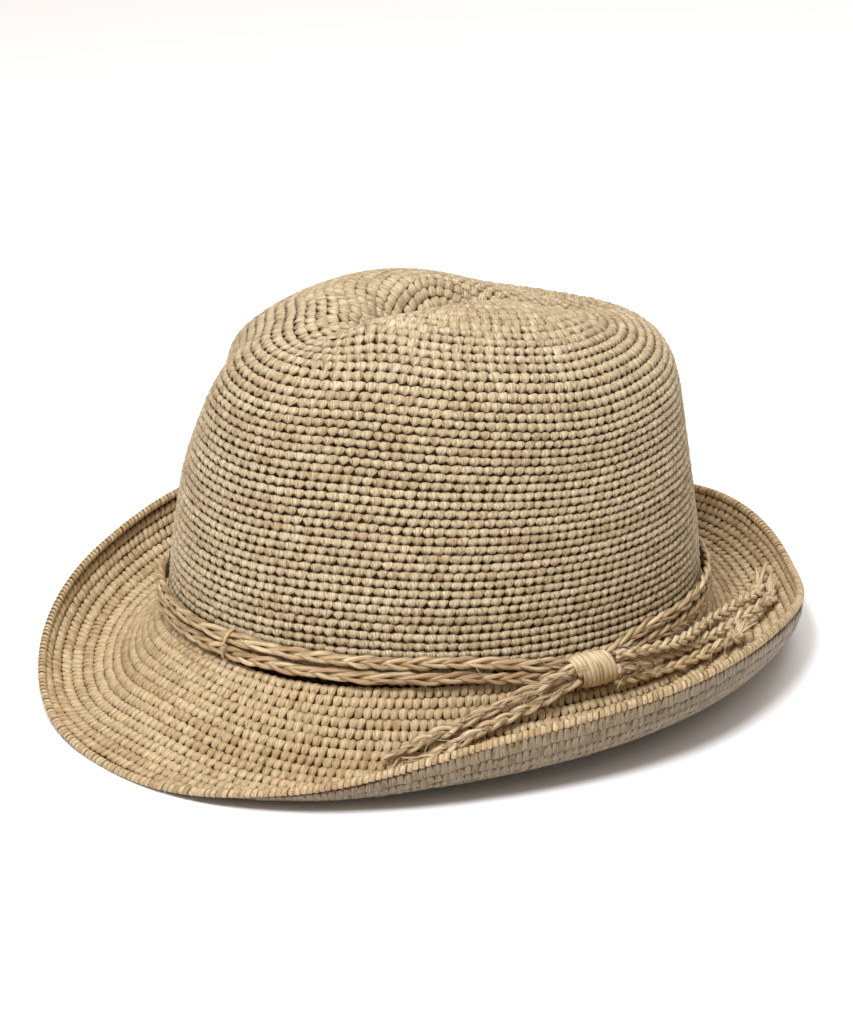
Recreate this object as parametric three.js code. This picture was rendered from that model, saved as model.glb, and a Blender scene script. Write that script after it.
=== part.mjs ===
// Crocheted raffia trilby, standing on a surface as it would by itself.
// Millimetres, +Z up, -Y the front of the hat, +X the wearer's left, z = 0 the surface it rests on.

import * as THREE from 'three';
import { mergeVertices } from 'three/addons/utils/BufferGeometryUtils.js';

// Driving sizes

const wall = 2.4;
const gap = 0.3;
const restHeight = 23.55;
const centreShift = 4.77;
const leanBack = THREE.MathUtils.degToRad(3.58);

const headOpening = { halfWidth: 85.5, front: 105, rear: 101.5 };

// One row for each level of the crown from the band up, over the crest and down into the crease.
// front and rear are the reaches along Y; zFront to zRear are the heights at the angles below.
const heightAngles = [0, 40, 90, 135, 180];
const crownLevels = [
  { ...headOpening, narrowing: 0, z: [0, 0, 0, 0, 0] },
  { halfWidth: 81.9, front: 103.9, rear: 96.8, narrowing: 0, z: [30, 30, 30, 30, 30] },
  { halfWidth: 77.1, front: 100.1, rear: 91.0, narrowing: 0, z: [60, 60, 60, 59, 58] },
  { halfWidth: 69.6, front: 92.0, rear: 87.4, narrowing: 0.01, z: [85.8, 88.5, 86.8, 83, 81.8] },
  { halfWidth: 61.4, front: 79.6, rear: 84.2, narrowing: 0.06, z: [99.5, 99.5, 98.4, 91, 89.8] },
  { halfWidth: 47.5, front: 68.4, rear: 78.0, narrowing: 0.12, z: [103.4, 107.2, 106.6, 96.2, 93.4] },
  { halfWidth: 28.8, front: 60.8, rear: 67.5, narrowing: 0.15, z: [104.5, 112.8, 112, 99, 95.2] },
  { halfWidth: 16.0, front: 47.9, rear: 52.8, narrowing: 0.15, z: [105.5, 109.8, 111.4, 101.3, 95.2] },
  { halfWidth: 7.4, front: 34.0, rear: 38.0, narrowing: 0.15, z: [100, 101.4, 100.3, 98, 94.2] },
  { halfWidth: 0.6, front: 1.0, rear: 1.0, narrowing: 0, z: [96, 96, 94.5, 96, 96] },
];
const narrowingPower = 1.5;
// slant is in degrees further back for each mm down
const pinch = { angle: 41, height: 80, slant: 0.35, angleSpread: 13, heightSpread: 24, depth: 5.5 };

// One row for each angle from the front to the rear: the brim's width along its curve, and its
// slope in degrees where it starts, half way out and at the rim.
const brimRows = [
  { angle: 0, width: 51.7, start: -22.1, middle: -46.1, end: -9.2 },
  { angle: 30, width: 53.7, start: -46.7, middle: -42.1, end: 47.8 },
  { angle: 60, width: 54.4, start: -61.6, middle: -16.3, end: 96 },
  { angle: 90, width: 54.2, start: -60.4, middle: 3.4, end: 92 },
  { angle: 120, width: 50.6, start: -69.2, middle: 9.7, end: 92 },
  { angle: 150, width: 48.2, start: -65.4, middle: -5.5, end: 97 },
  { angle: 180, width: 45.9, start: -30.9, middle: -0.1, end: 89.8 },
];

const edgeDiameter = 3.2;
const bandCord = { diameter: 4.6, sides: 6, steps: 66, slack: 0.25, pullOut: 1.0 };
const bandLevels = { upper: { height: 9.6, atWrap: 4.5 }, lower: { height: 3.1, atWrap: -0.3 } };
const wrap = { angle: 84, length: 18, tall: 12.6, thick: 10.2, bulge: 0.9, height: 2.2, reach: 6.1 };
const wrapPull = { front: 30, rear: 20 };

const columns = 60;
const crownRows = 24;
const brimSteps = 11;
const edgeSides = 6;
const wrapSides = 14;

// Free ends of the band cord, from the wrap out to each end. Each row is the angle from the front,
// the reach out from the head opening and the height above it.
const tail = { diameter: 4.2, sides: 8, step: 8.4 };
const tails = {
  tail_front_upper: [
    [78.7, 8.3, 4.4], [72.8, 8.2, 0.7], [67.0, 8.0, -3.1], [61.4, 8.8, -6.7],
    [56.0, 10.5, -10.1], [51.1, 13.1, -13.3], [46.5, 16.4, -16.4],
  ],
  tail_front_lower: [
    [78.7, 8.5, -0.4], [73.4, 8.6, -4.0], [68.2, 9.4, -7.0], [63.3, 11.0, -9.9],
    [58.8, 13.2, -12.5], [54.7, 15.9, -15.0], [50.9, 19.1, -17.3],
  ],
  tail_rear_upper: [
    [89.3, 8.6, 6.2], [97.9, 7.5, 3.7], [106.9, 6.8, 1.3], [116.5, 5.3, -0.6],
    [126.7, 5.0, -2.7], [136.8, 8.5, -5.7], [146.1, 15.1, -8.3], [153.9, 24.3, -10.7],
  ],
  tail_rear_lower: [
    [89.3, 8.9, 1.5], [98.0, 6.7, -0.8], [107.0, 5.4, -3.1], [116.2, 6.3, -5.0],
    [125.4, 8.5, -6.2], [134.2, 12.5, -7.5], [142.2, 18.7, -8.6], [149.0, 26.8, -9.5],
  ],
  tail_rear_short: [
    [89.3, 7.9, -3.1], [97.0, 7.7, -5.2], [104.8, 8.4, -6.2], [112.6, 9.4, -7.1],
    [120.3, 11.1, -8.1], [128.0, 13.9, -9.2],
  ],
};

// Interpolation

function hermite(xs, ys, x, flatEnds) {
  const last = xs.length - 1;
  const slopes = [];
  for (let i = 0; i < last; i += 1) {
    slopes.push((ys[i + 1] - ys[i]) / (xs[i + 1] - xs[i]));
  }
  const tangent = (i) => {
    if (i === 0 || i === last) {
      return flatEnds ? 0 : slopes[i === 0 ? 0 : last - 1];
    }
    const before = xs[i] - xs[i - 1];
    const after = xs[i + 1] - xs[i];
    return (after * slopes[i - 1] + before * slopes[i]) / (before + after);
  };
  let k = 0;
  while (k < last - 1 && x >= xs[k + 1]) {
    k += 1;
  }
  const span = xs[k + 1] - xs[k];
  const s = (x - xs[k]) / span;
  return (1 + 2 * s) * (1 - s) ** 2 * ys[k] + s * (1 - s) ** 2 * span * tangent(k)
    + s * s * (3 - 2 * s) * ys[k + 1] + s * s * (s - 1) * span * tangent(k + 1);
}

// Angle from the front, 0 to 180, the same on both sides of the hat.
function foldedAngle(t) {
  const degrees = THREE.MathUtils.radToDeg(t);
  return Math.abs(((degrees + 180) % 360 + 360) % 360 - 180);
}

// The hat leans back on its brim: front up by leanBack, lifted to stand on z = 0, and centred.
function placed(x, y, z) {
  const cos = Math.cos(leanBack);
  const sin = Math.sin(leanBack);
  return new THREE.Vector3(x, y * cos + z * sin + centreShift, z * cos - y * sin + restHeight);
}

// Crown

function levelPoint(level, t) {
  const c = Math.cos(t);
  const frontness = (1 + c) / 2;
  const x = level.halfWidth * Math.sin(t) * (1 - level.narrowing * frontness ** narrowingPower);
  const y = -(c > 0 ? level.front : level.rear) * c;
  return [x, y, hermite(heightAngles, level.z, foldedAngle(t), true)];
}

function pinched([x, y, z], t) {
  const side = Math.sin(t) < 0 ? -1 : 1;
  const above = z - pinch.height;
  const away = foldedAngle(t) - pinch.angle + pinch.slant * above;
  const depth = pinch.depth
    * Math.exp(-((away / pinch.angleSpread) ** 2) - (above / pinch.heightSpread) ** 2);
  const direction = THREE.MathUtils.degToRad(pinch.angle);
  return [x - depth * side * Math.sin(direction), y + depth * Math.cos(direction), z];
}

// Levels are spaced by the square root of the steps of the side profile.
function levelPositions() {
  const at = [0];
  for (let i = 1; i < crownLevels.length; i += 1) {
    const a = crownLevels[i - 1];
    const b = crownLevels[i];
    const step = Math.hypot(b.halfWidth - a.halfWidth, b.z[2] - a.z[2]);
    at.push(at[i - 1] + Math.sqrt(step));
  }
  return at;
}

const meridianSamples = 240;

function meridian(t) {
  const at = levelPositions();
  const knots = crownLevels.map((level) => levelPoint(level, t));
  const points = [];
  for (let i = 0; i < meridianSamples; i += 1) {
    const u = at[at.length - 1] * i / (meridianSamples - 1);
    const p = [0, 1, 2].map((k) => hermite(at, knots.map((knot) => knot[k]), u, false));
    points.push(new THREE.Vector3(...pinched(p, t)));
  }
  return points;
}

function arcLengths(points) {
  const lengths = [0];
  for (let i = 1; i < points.length; i += 1) {
    lengths.push(lengths[i - 1] + points[i].distanceTo(points[i - 1]));
  }
  return lengths;
}

function pointAtArc(points, lengths, s) {
  let k = 0;
  while (k < points.length - 2 && s > lengths[k + 1]) {
    k += 1;
  }
  const f = (s - lengths[k]) / (lengths[k + 1] - lengths[k]);
  return points[k].clone().lerp(points[k + 1], f);
}

function angleOf(column) {
  return 2 * Math.PI * column / columns;
}

// Rows of points in equal steps of arc length along each meridian, from startArc to the top.
function crownSkin(startArc) {
  const rows = Array.from({ length: crownRows }, () => []);
  for (let j = 0; j < columns; j += 1) {
    const points = meridian(angleOf(j));
    const lengths = arcLengths(points);
    const total = lengths[lengths.length - 1];
    for (let i = 0; i < crownRows; i += 1) {
      const s = startArc + (total - startArc) * i / (crownRows - 1);
      const p = pointAtArc(points, lengths, s);
      rows[i].push(placed(p.x, p.y, p.z));
    }
  }
  return rows;
}

function skinNormals(rows) {
  const last = rows.length - 1;
  return rows.map((row, i) => row.map((_, j) => {
    const up = rows[Math.min(i + 1, last)][j].clone().sub(rows[Math.max(i - 1, 0)][j]);
    const along = row[(j + 1) % columns].clone().sub(row[(j + columns - 1) % columns]);
    return along.cross(up).normalize();
  }));
}

function offsetRows(rows, normals, distance) {
  return rows.map((row, i) => row.map((p, j) => p.clone().addScaledVector(normals[i][j], distance)));
}

function centreOf(row) {
  const centre = new THREE.Vector3();
  row.forEach((p) => centre.add(p));
  return centre.divideScalar(row.length);
}

// Meshes from rings of points

function ringMesh(rings, closed, startPoint, endPoint) {
  const positions = [];
  rings.forEach((ring) => ring.forEach((p) => positions.push(p.x, p.y, p.z)));
  const size = rings[0].length;
  const index = [];
  const last = closed ? rings.length : rings.length - 1;
  for (let i = 0; i < last; i += 1) {
    for (let j = 0; j < size; j += 1) {
      const a = i * size + j;
      const b = i * size + (j + 1) % size;
      const c = ((i + 1) % rings.length) * size + (j + 1) % size;
      const d = ((i + 1) % rings.length) * size + j;
      index.push(a, b, c, a, c, d);
    }
  }
  const addCap = (point, ringStart, flipped) => {
    const tip = positions.length / 3;
    positions.push(point.x, point.y, point.z);
    for (let j = 0; j < size; j += 1) {
      const a = ringStart + j;
      const b = ringStart + (j + 1) % size;
      index.push(...(flipped ? [b, a, tip] : [a, b, tip]));
    }
  };
  if (startPoint) {
    addCap(startPoint, 0, true);
  }
  if (endPoint) {
    addCap(endPoint, (rings.length - 1) * size, false);
  }
  const geometry = new THREE.BufferGeometry();
  geometry.setAttribute('position', new THREE.Float32BufferAttribute(positions, 3));
  geometry.setIndex(index);
  geometry.computeVertexNormals();
  return geometry;
}

function crownGeometry() {
  const outer = crownSkin(gap);
  const normals = skinNormals(outer);
  const inner = offsetRows(outer, normals, -wall);
  const innerTop = centreOf(inner[crownRows - 1]);
  const outerTop = centreOf(outer[crownRows - 1]);
  const rings = [...inner.slice().reverse(), ...outer];
  return ringMesh(rings, false, innerTop, outerTop);
}

// Brim

function openingPoint(t) {
  const reach = Math.cos(t) > 0 ? headOpening.front : headOpening.rear;
  return new THREE.Vector2(headOpening.halfWidth * Math.sin(t), -reach * Math.cos(t));
}

function openingNormal(t) {
  const reach = Math.cos(t) > 0 ? headOpening.front : headOpening.rear;
  return new THREE.Vector2(reach * Math.sin(t), -headOpening.halfWidth * Math.cos(t)).normalize();
}

function brimAt(name, t) {
  return hermite(brimRows.map((row) => row.angle), brimRows.map((row) => row[name]), foldedAngle(t), true);
}

// The slope follows a parabola through its start, middle and end values.
function brimSlope(t, s) {
  const slope = brimAt('start', t) * (1 - s) * (1 - 2 * s) + brimAt('middle', t) * 4 * s * (1 - s)
    + brimAt('end', t) * s * (2 * s - 1);
  return THREE.MathUtils.degToRad(slope);
}

// Upper surface of the brim as [reach, height] from the head opening, and the way up from it.
const brimFineSteps = 44;

function brimProfile(t) {
  const step = brimAt('width', t) / brimFineSteps;
  const profile = [{ reach: 0, height: 0, slope: brimSlope(t, 0) }];
  for (let i = 1; i <= brimFineSteps; i += 1) {
    const slope = brimSlope(t, (i - 0.5) / brimFineSteps);
    const before = profile[i - 1];
    profile.push({
      reach: before.reach + Math.cos(slope) * step,
      height: before.height + Math.sin(slope) * step,
      slope: brimSlope(t, i / brimFineSteps),
    });
  }
  return profile;
}

function brimPoint(t, reach, height) {
  const base = openingPoint(t);
  const out = openingNormal(t);
  return placed(base.x + out.x * reach, base.y + out.y * reach, height);
}

function brimGeometry() {
  const upper = [];
  const lower = [];
  for (let i = 0; i <= brimSteps; i += 1) {
    upper.push([]);
    lower.push([]);
  }
  for (let j = 0; j < columns; j += 1) {
    const t = angleOf(j);
    const profile = brimProfile(t);
    for (let i = 0; i <= brimSteps; i += 1) {
      const at = profile[Math.round(brimFineSteps * i / brimSteps)];
      upper[i].push(brimPoint(t, at.reach, at.height));
      const downReach = at.reach + wall * Math.sin(at.slope);
      const downHeight = at.height - wall * Math.cos(at.slope);
      lower[i].push(brimPoint(t, downReach, downHeight));
    }
  }
  return ringMesh([...upper.slice().reverse(), ...lower], true);
}

function edgeGeometry() {
  const radius = edgeDiameter / 2;
  const rings = Array.from({ length: edgeSides }, () => []);
  for (let j = 0; j < columns; j += 1) {
    const t = angleOf(j);
    const rim = brimProfile(t)[brimFineSteps];
    const forward = gap + radius;
    const down = wall / 2;
    const reach = rim.reach + Math.cos(rim.slope) * forward + Math.sin(rim.slope) * down;
    const height = rim.height + Math.sin(rim.slope) * forward - Math.cos(rim.slope) * down;
    for (let k = 0; k < edgeSides; k += 1) {
      const around = 2 * Math.PI * k / edgeSides;
      rings[k].push(brimPoint(t, reach + radius * Math.cos(around), height + radius * Math.sin(around)));
    }
  }
  return ringMesh(rings, true);
}

// Band, wrap and tails

class PathCurve extends THREE.Curve {
  constructor(pointAt) {
    super();
    this.pointAt = pointAt;
  }

  getPoint(u, target = new THREE.Vector3()) {
    return target.copy(this.pointAt(u));
  }
}

function tubeGeometry(curve, diameter, sides, steps) {
  const section = new THREE.Shape();
  for (let k = 0; k < sides; k += 1) {
    const around = 2 * Math.PI * k / sides;
    const x = diameter / 2 * Math.cos(around);
    const y = diameter / 2 * Math.sin(around);
    if (k === 0) {
      section.moveTo(x, y);
    } else {
      section.lineTo(x, y);
    }
  }
  section.closePath();
  return new THREE.ExtrudeGeometry(section, { steps, extrudePath: curve, curveSegments: 1 });
}

// Outside of the crown wall a little above the band line.
function wallPoint(t, height) {
  const points = meridian(t);
  const p = pointAtArc(points, arcLengths(points), Math.max(height, 0));
  return new THREE.Vector2(p.x, p.y);
}

// The cords run together towards the wrap, over a shorter stretch behind it than before it.
function bandPoint(t, level) {
  const away = (THREE.MathUtils.radToDeg(t) - wrap.angle + 540) % 360 - 180;
  const range = away < 0 ? wrapPull.front : wrapPull.rear;
  const pull = Math.abs(away) < range ? Math.cos(away / range * Math.PI / 2) ** 2 : 0;
  const height = level.height + (level.atWrap - level.height) * pull;
  const wallAt = wallPoint(t, height);
  const out = openingNormal(t);
  const reach = gap + bandCord.diameter / 2 + bandCord.slack + pull * bandCord.pullOut;
  return placed(wallAt.x + out.x * reach, wallAt.y + out.y * reach, height);
}

// Half of the wrap's length and the gap to it, as an angle around the hat.
function wrapHalfAngle() {
  return (wrap.length / 2 + gap + bandCord.slack) / headOpening.front;
}

function bandGeometry(level) {
  const start = THREE.MathUtils.degToRad(wrap.angle) + wrapHalfAngle();
  const sweep = 2 * Math.PI - 2 * wrapHalfAngle();
  const curve = new PathCurve((u) => bandPoint(start + sweep * u, level));
  return tubeGeometry(curve, bandCord.diameter, bandCord.sides, bandCord.steps);
}

function wrapCentre() {
  const t = THREE.MathUtils.degToRad(wrap.angle);
  return brimPoint(t, wrap.reach, wrap.height);
}

function wrapMesh() {
  const half = wrap.length / 2;
  const profile = [
    new THREE.Vector2(0, -half),
    new THREE.Vector2(wrap.tall / 2 - wrap.bulge, -half),
    new THREE.Vector2(wrap.tall / 2, -half / 2),
    new THREE.Vector2(wrap.tall / 2, half / 2),
    new THREE.Vector2(wrap.tall / 2 - wrap.bulge, half),
    new THREE.Vector2(0, half),
  ];
  const geometry = new THREE.LatheGeometry(profile, wrapSides);
  geometry.scale(wrap.thick / wrap.tall, 1, 1);
  geometry.deleteAttribute('uv');
  geometry.deleteAttribute('normal');
  const mesh = new THREE.Mesh(mergeVertices(geometry), raffia('#cfae80'));
  const t = THREE.MathUtils.degToRad(wrap.angle);
  const out = openingNormal(t);
  mesh.position.copy(wrapCentre());
  mesh.rotation.set(-leanBack, 0, Math.atan2(out.y, out.x));
  mesh.name = 'knot_wrap';
  return mesh;
}

function tailGeometry(rows) {
  const points = rows.map(([angle, reach, height]) => (
    brimPoint(THREE.MathUtils.degToRad(angle), reach, height)
  ));
  const curve = new THREE.CatmullRomCurve3(points);
  const steps = Math.round(curve.getLength() / tail.step);
  return tubeGeometry(curve, tail.diameter, tail.sides, steps);
}

// Assembly

function raffia(color) {
  return new THREE.MeshStandardMaterial({ color, roughness: 0.8, metalness: 0 });
}

function piece(name, geometry, color) {
  const mesh = new THREE.Mesh(geometry, raffia(color));
  mesh.name = name;
  return mesh;
}

const hat = new THREE.Group();
hat.name = 'raffia_hat';
hat.add(piece('crown', crownGeometry(), '#b8a27c'));
hat.add(piece('brim', brimGeometry(), '#c8ad84'));
hat.add(piece('brim_edge', edgeGeometry(), '#bda179'));
hat.add(piece('band_cord_upper', bandGeometry(bandLevels.upper), '#cbaa7a'));
hat.add(piece('band_cord_lower', bandGeometry(bandLevels.lower), '#cbaa7a'));
hat.add(wrapMesh());
Object.entries(tails).forEach(([name, points]) => {
  hat.add(piece(name, tailGeometry(points), '#cbaa7a'));
});

export default hat;
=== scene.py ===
import math

import bpy
import numpy as np
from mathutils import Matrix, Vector


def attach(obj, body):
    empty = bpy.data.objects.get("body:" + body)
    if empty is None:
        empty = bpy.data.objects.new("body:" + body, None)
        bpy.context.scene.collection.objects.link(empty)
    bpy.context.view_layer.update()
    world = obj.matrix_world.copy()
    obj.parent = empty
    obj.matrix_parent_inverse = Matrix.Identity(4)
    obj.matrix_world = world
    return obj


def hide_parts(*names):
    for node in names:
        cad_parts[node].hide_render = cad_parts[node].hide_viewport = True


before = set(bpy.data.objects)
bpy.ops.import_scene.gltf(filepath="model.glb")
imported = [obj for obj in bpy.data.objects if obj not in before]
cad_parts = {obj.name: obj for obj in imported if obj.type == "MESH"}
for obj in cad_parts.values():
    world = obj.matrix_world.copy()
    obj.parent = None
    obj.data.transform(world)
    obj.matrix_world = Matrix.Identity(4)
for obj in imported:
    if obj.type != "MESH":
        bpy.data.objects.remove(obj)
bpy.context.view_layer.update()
mm = 0.001
print("frame loaded")

# Camera: the photograph's viewing angle

view = {
    "azimuth": 48.67,
    "elevation": 22.27,
    "distance": 1384.3,      # mm
    "lookAt": (0.0, 4.77, 53.5),
    "lens": 137.13,
    "sensor": 36.0,
    "shiftX": -0.01393,
    "shiftY": -0.00169,
    "clip": (0.05, 20.0),    # metres
}


def awayFrom(azimuth, elevation):
    # unit direction, with the azimuth in degrees round from the front towards the wearer's left
    azimuth = math.radians(azimuth)
    elevation = math.radians(elevation)
    return Vector((
        math.sin(azimuth) * math.cos(elevation),
        -math.cos(azimuth) * math.cos(elevation),
        math.sin(elevation),
    ))


def makeCamera():
    data = bpy.data.cameras.new("camera")
    data.lens = view["lens"]
    data.sensor_width = view["sensor"]
    data.shift_x = view["shiftX"]
    data.shift_y = view["shiftY"]
    data.clip_start, data.clip_end = view["clip"]
    camera = bpy.data.objects.new("camera", data)
    bpy.context.scene.collection.objects.link(camera)
    back = awayFrom(view["azimuth"], view["elevation"])
    camera.location = (Vector(view["lookAt"]) + back * view["distance"]) * mm
    camera.rotation_euler = back.to_track_quat("Z", "Y").to_euler()
    bpy.context.scene.camera = camera


makeCamera()
print("camera made")

# The shape of the hat in millimetres, with the same named sizes as the solids

hatShape = {
    "restHeight": 23.55,     # the head opening over the floor
    "centreShift": 4.77,
    "leanBack": 3.58,        # degrees
    "wall": 2.4,
    "halfWidth": 85.5,       # of the head opening
    "front": 105.0,
    "rear": 101.5,
    "heightAngles": (0, 40, 90, 135, 180),
    "narrowingPower": 1.5,
    "pinchAngle": 41,
    "pinchHeight": 80,
    "pinchSlant": 0.35,      # degrees further back for each mm down
    "pinchAngleSpread": 13,
    "pinchHeightSpread": 24,
    "pinchDepth": 5.5,
    "gap": 0.3,
    "edgeDiameter": 3.2,
    "tipEvening": {"reach": 30, "above": 0.82, "over": 0.08},
}

# from the band to the tip:
# half width, reach to the front, reach to the rear, narrowing, then heights at heightAngles
crownLevels = (
    (85.5, 105.0, 101.5, 0.00, 0, 0, 0, 0, 0),
    (81.9, 103.9, 96.8, 0.00, 30, 30, 30, 30, 30),
    (77.1, 100.1, 91.0, 0.00, 60, 60, 60, 59, 58),
    (69.6, 92.0, 87.4, 0.01, 85.8, 88.5, 86.8, 83.0, 81.8),
    (61.4, 79.6, 84.2, 0.06, 99.5, 99.5, 98.4, 91.0, 89.8),
    (47.5, 68.4, 78.0, 0.12, 103.4, 107.2, 106.6, 96.2, 93.4),
    (28.8, 60.8, 67.5, 0.15, 104.5, 112.8, 112.0, 99.0, 95.2),
    (16.0, 47.9, 52.8, 0.15, 105.5, 109.8, 111.4, 101.3, 95.2),
    (7.4, 34.0, 38.0, 0.15, 100, 101.4, 100.3, 98.0, 94.2),
    (0.6, 1.0, 1.0, 0.00, 96, 96, 94.5, 96, 96),
)

# angle from the front, width along the curve, then slope at the start, the middle and the rim
brimRows = (
    (0, 51.7, -22.1, -46.1, -9.2),
    (30, 53.7, -46.7, -42.1, 47.8),
    (60, 54.4, -61.6, -16.3, 96),
    (90, 54.2, -60.4, 3.4, 92),
    (120, 50.6, -69.2, 9.7, 92),
    (150, 48.2, -65.4, -5.5, 97),
    (180, 45.9, -30.9, -0.1, 89.8),
)


def hermite(xs, ys, x, flatEnds):
    # smooth curve through ys at xs
    xs = np.asarray(xs, float)
    ys = np.asarray(ys, float)
    x = np.asarray(x, float)
    extra = (1,) * (ys.ndim - 1)
    spans = np.diff(xs).reshape((-1,) + extra)
    slopes = np.diff(ys, axis=0) / spans
    tangents = np.zeros_like(ys)
    tangents[1:-1] = (spans[1:] * slopes[:-1] + spans[:-1] * slopes[1:]) / (spans[1:] + spans[:-1])
    if not flatEnds:
        tangents[0] = slopes[0]
        tangents[-1] = slopes[-1]
    k = np.clip(np.searchsorted(xs, x, side="right") - 1, 0, len(xs) - 2)
    span = (xs[k + 1] - xs[k]).reshape(x.shape + extra)
    s = (x - xs[k]).reshape(x.shape + extra) / span
    lower = (1 + 2 * s) * (1 - s) ** 2 * ys[k] + s * (1 - s) ** 2 * span * tangents[k]
    upper = s * s * (3 - 2 * s) * ys[k + 1] + s * s * (s - 1) * span * tangents[k + 1]
    return lower + upper


def foldedAngle(t):
    # from the front, 0 to 180 degrees, the same on both sides
    return np.abs((np.degrees(t) + 180) % 360 - 180)


def leaned(p):
    # the hat leans back on its brim
    lean = math.radians(hatShape["leanBack"])
    p = np.asarray(p, float)
    y = p[..., 1] * math.cos(lean) + p[..., 2] * math.sin(lean)
    z = p[..., 2] * math.cos(lean) - p[..., 1] * math.sin(lean)
    return np.stack([p[..., 0], y, z], -1)


def placed(p):
    return leaned(p) + np.array([0, hatShape["centreShift"], hatShape["restHeight"]])


def unit(v):
    return v / np.maximum(np.linalg.norm(v, axis=-1, keepdims=True), 1e-9)


def square(v, axis):
    # the part of v that stands square to a unit axis, as a unit vector
    return unit(v - axis * np.sum(v * axis, -1, keepdims=True))


def runningSum(steps):
    return np.concatenate([[0], np.cumsum(steps)])


def arcsAlong(line):
    return runningSum(np.linalg.norm(np.diff(line, axis=0), axis=1))


def arcsAround(ring):
    return runningSum(np.linalg.norm(np.roll(ring, -1, axis=0) - ring, axis=1))


def columnsAt(at, given, values):
    # linear interpolation of each of three columns
    return np.stack([np.interp(at, given, values[:, k]) for k in range(3)], -1)


fullTurn = 2 * math.pi
tableAngles = np.arange(720) * fullTurn / 720
closedAngles = np.append(tableAngles, fullTurn)


def levelRing(level, t):
    front = (1 + np.cos(t)) / 2
    narrow = 1 - level[3] * front ** hatShape["narrowingPower"]
    x = level[0] * np.sin(t) * narrow
    y = -np.where(np.cos(t) > 0, level[1], level[2]) * np.cos(t)
    z = hermite(hatShape["heightAngles"], level[4:], foldedAngle(t), True)
    return np.stack([x, y, z], -1)


def makeCrownTable(arcCount=241):
    # points of the crown's outer face, at equal shares of the way from the band to the tip
    levels = np.array(crownLevels, float)
    knots = np.stack([levelRing(level, tableAngles) for level in levels])
    steps = np.hypot(np.diff(levels[:, 0]), np.diff(levels[:, 6]))
    at = runningSum(np.sqrt(steps))
    fine = hermite(at, knots, np.linspace(0, at[-1], arcCount - 1), False)
    above = fine[..., 2] - hatShape["pinchHeight"]
    away = foldedAngle(tableAngles) - hatShape["pinchAngle"] + hatShape["pinchSlant"] * above
    depth = hatShape["pinchDepth"] * np.exp(
        -(away / hatShape["pinchAngleSpread"]) ** 2 - (above / hatShape["pinchHeightSpread"]) ** 2
    )
    direction = math.radians(hatShape["pinchAngle"])
    side = np.where(np.sin(tableAngles) < 0, -1, 1)
    fine[..., 0] -= depth * side * math.sin(direction)
    fine[..., 1] += depth * math.cos(direction)
    stepLengths = np.linalg.norm(np.diff(fine, axis=0), axis=-1)
    lengths = np.concatenate([np.zeros((1, len(tableAngles))), np.cumsum(stepLengths, axis=0)])
    table = np.zeros((arcCount, len(tableAngles), 3))
    for j in range(len(tableAngles)):
        wanted = np.linspace(0, lengths[-1, j], arcCount)
        table[:, j] = columnsAt(wanted, lengths[:, j], fine[:, j])
    return table, lengths[-1]


def openingPoint(t):
    # on the head opening, an oval of two half ellipses
    reach = np.where(np.cos(t) > 0, hatShape["front"], hatShape["rear"])
    return np.stack([hatShape["halfWidth"] * np.sin(t), -reach * np.cos(t)], -1)


def openingNormal(t):
    reach = np.where(np.cos(t) > 0, hatShape["front"], hatShape["rear"])
    return unit(np.stack([reach * np.sin(t), -hatShape["halfWidth"] * np.cos(t)], -1))


def brimPoint(t, reach, height):
    flat = openingPoint(t) + openingNormal(t) * np.asarray(reach)[..., None]
    return placed(np.concatenate([flat, np.asarray(height, float)[..., None]], -1))


def makeBrimTable(steps=120):
    # the same for the brim's upper face, from the band to the rim
    rows = np.array(brimRows, float)
    width, start, middle, end = (
        hermite(rows[:, 0], rows[:, k], foldedAngle(tableAngles), True) for k in range(1, 5)
    )

    def slopeAt(s):
        # the parabola through the three slopes
        return np.radians(
            start * (1 - s) * (1 - 2 * s) + middle * 4 * s * (1 - s) + end * s * (2 * s - 1)
        )

    reach = np.zeros_like(width)
    height = np.zeros_like(width)
    table = [brimPoint(tableAngles, reach, height)]
    for i in range(1, steps + 1):
        slope = slopeAt((i - 0.5) / steps)
        reach = reach + np.cos(slope) * width / steps
        height = height + np.sin(slope) * width / steps
        table.append(brimPoint(tableAngles, reach, height))
    return np.stack(table), (reach, height, slopeAt(1.0))


def tableNormals(table, outward):
    along = np.roll(table, -1, axis=1) - np.roll(table, 1, axis=1)
    up = np.gradient(table, axis=0)
    return unit(np.cross(along, up)) * outward


def sample(table, fraction, angle):
    # between the four nearest points of a table
    rows, columns = table.shape[:2]
    u = np.clip(fraction, 0, 1) * (rows - 1)
    v = (np.asarray(angle) / fullTurn) % 1 * columns
    i = np.minimum(u.astype(int), rows - 2)
    j = v.astype(int) % columns
    a = (u - i)[..., None]
    b = (v - np.floor(v))[..., None]
    nextJ = (j + 1) % columns
    low = table[i, j] * (1 - b) + table[i, nextJ] * b
    high = table[i + 1, j] * (1 - b) + table[i + 1, nextJ] * b
    return low * (1 - a) + high * a


def evened(normals, reach, above, over):
    # towards the tip each normal is averaged with those beside it, across the fold of the crease
    wide = unit(sum(np.roll(normals, k, axis=1) for k in range(-reach, reach + 1)))
    share = np.linspace(0, 1, len(normals))[:, None, None]
    share = np.clip((share - above) / over, 0, 1)
    return unit(normals * (1 - share) + wide * share)


levelTable, crownArcs = makeCrownTable()
crownTable = placed(levelTable)
crownNormals = evened(tableNormals(crownTable, 1), **hatShape["tipEvening"])
brimTable, brimRim = makeBrimTable()
brimNormals = tableNormals(brimTable, -1)
print("hat shape worked out")

# Small helpers for node trees, colours and meshes


def toLinear(code):
    # sRGB hex to a linear colour
    channels = [int(code[i:i + 2], 16) / 255 for i in (1, 3, 5)]
    return [c / 12.92 if c <= 0.04045 else ((c + 0.055) / 1.055) ** 2.4 for c in channels] + [1.0]


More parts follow.
